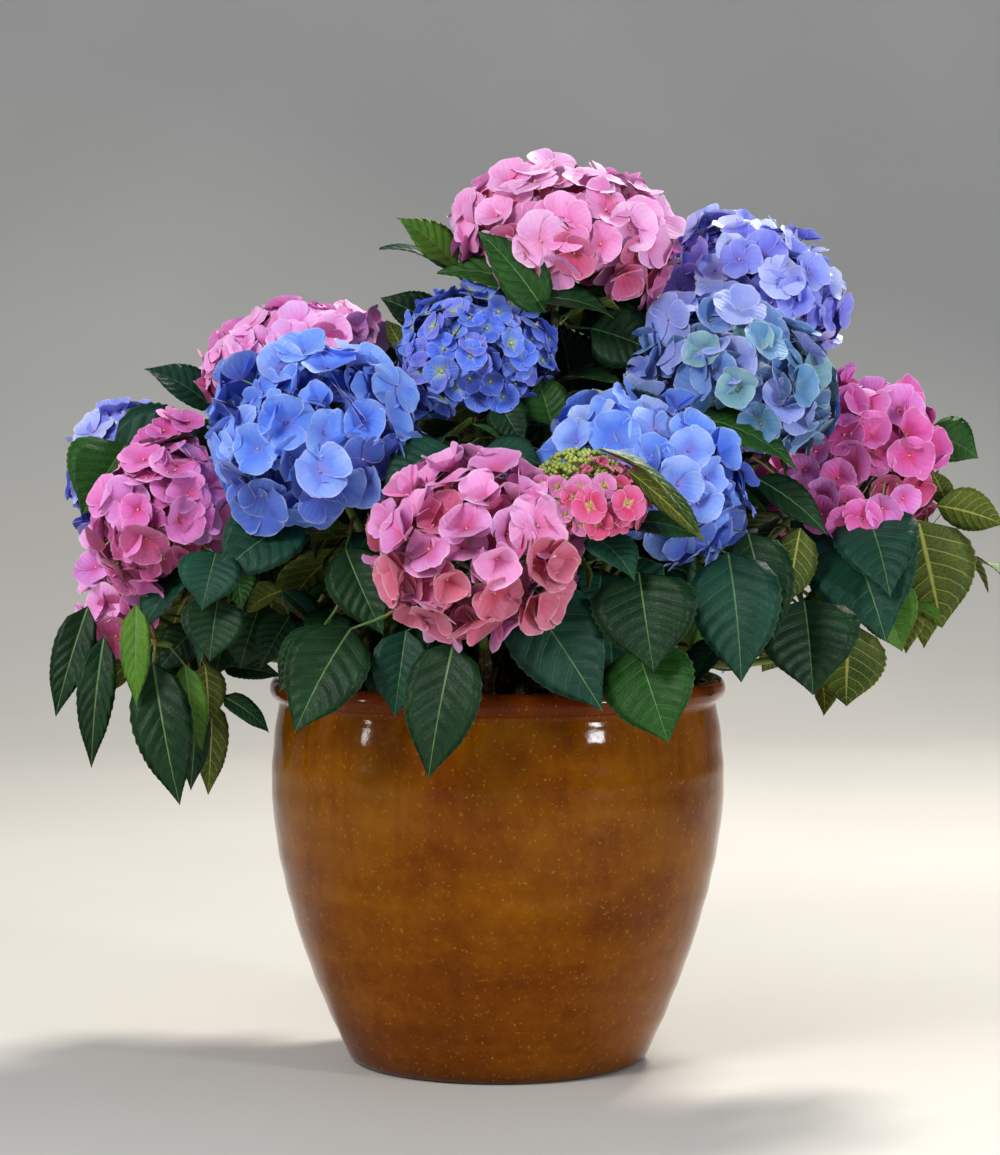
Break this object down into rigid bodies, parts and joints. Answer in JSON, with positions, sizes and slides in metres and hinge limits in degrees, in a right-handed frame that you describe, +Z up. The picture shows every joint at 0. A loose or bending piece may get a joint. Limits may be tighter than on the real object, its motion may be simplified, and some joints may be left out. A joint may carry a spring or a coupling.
{
  "type": "potted flowering shrub",
  "caption": "Rounded flowering shrub with large globe-shaped heads and broad toothed leaves, growing in a round-bellied glazed pot with a rolled lip.",
  "frame": {"origin": "centre of the pot's flat underside, on the floor", "axes": "+Z up; the side with most of the blossom faces -Y, and +X is to the right of someone looking at that side"},
  "size_m": [0.8856, 0.6671, 0.8266],
  "materials": {
    "pot_glaze": "gloss",
    "potting_mix": "rough",
    "bark": "matte",
    "leaf": "satin",
    "blossom_pale_pink": "matte",
    "blossom_pink": "matte",
    "blossom_strong_pink": "matte",
    "blossom_sky_blue": "matte",
    "blossom_deep_blue": "matte",
    "blossom_teal": "matte",
    "blossom_violet": "matte",
    "blossom_young": "matte"
  },
  "bodies": {
    "root": {"pot": "pot_glaze", "soil": "potting_mix", "cane_pink_top": "bark", "leaves_pink_top": "leaf", "bloom_pink_top": "blossom_pale_pink", "cane_violet_right_back": "bark", "leaves_violet_right_back": "leaf", "bloom_violet_right_back": "blossom_violet", "cane_blue_right": "bark", "leaves_blue_right": "leaf", "bloom_blue_right": "blossom_teal", "cane_blue_centre": "bark", "leaves_blue_centre": "leaf", "bloom_blue_centre": "blossom_deep_blue", "cane_blue_left": "bark", "leaves_blue_left": "leaf", "bloom_blue_left": "blossom_sky_blue", "cane_pink_left_back": "bark", "leaves_pink_left_back": "leaf", "bloom_pink_left_back": "blossom_pink", "cane_pink_left": "bark", "leaves_pink_left": "leaf", "bloom_pink_left": "blossom_pink", "cane_violet_left": "bark", "leaves_violet_left": "leaf", "bloom_violet_left": "blossom_violet", "cane_pink_front": "bark", "leaves_pink_front": "leaf", "bloom_pink_front": "blossom_pale_pink", "cane_blue_front_right": "bark", "leaves_blue_front_right": "leaf", "bloom_blue_front_right": "blossom_sky_blue", "cane_pink_right": "bark", "leaves_pink_right": "leaf", "bloom_pink_right": "blossom_strong_pink", "cane_blue_back": "bark", "leaves_blue_back": "leaf", "bloom_blue_back": "blossom_sky_blue", "cane_pink_back": "bark", "leaves_pink_back": "leaf", "bloom_pink_back": "blossom_pink", "cane_pink_right_back": "bark", "leaves_pink_right_back": "leaf", "bloom_pink_right_back": "blossom_strong_pink", "cane_violet_back_left": "bark", "leaves_violet_back_left": "leaf", "bloom_violet_back_left": "blossom_violet", "leaves_pink_left_low": "leaf", "bloom_pink_left_low": "blossom_pink", "leaves_bud_front": "leaf", "bloom_bud_front": "blossom_young", "leaves_pink_back_low": "leaf", "bloom_pink_back_low": "blossom_pale_pink", "leaves_blue_back_low": "leaf", "bloom_blue_back_low": "blossom_teal", "leaves_leaf_top_left": "leaf", "leaves_leaf_right": "leaf", "leaves_hang_left": "leaf", "leaves_hang_right": "leaf"}
  },
  "joints": []
}
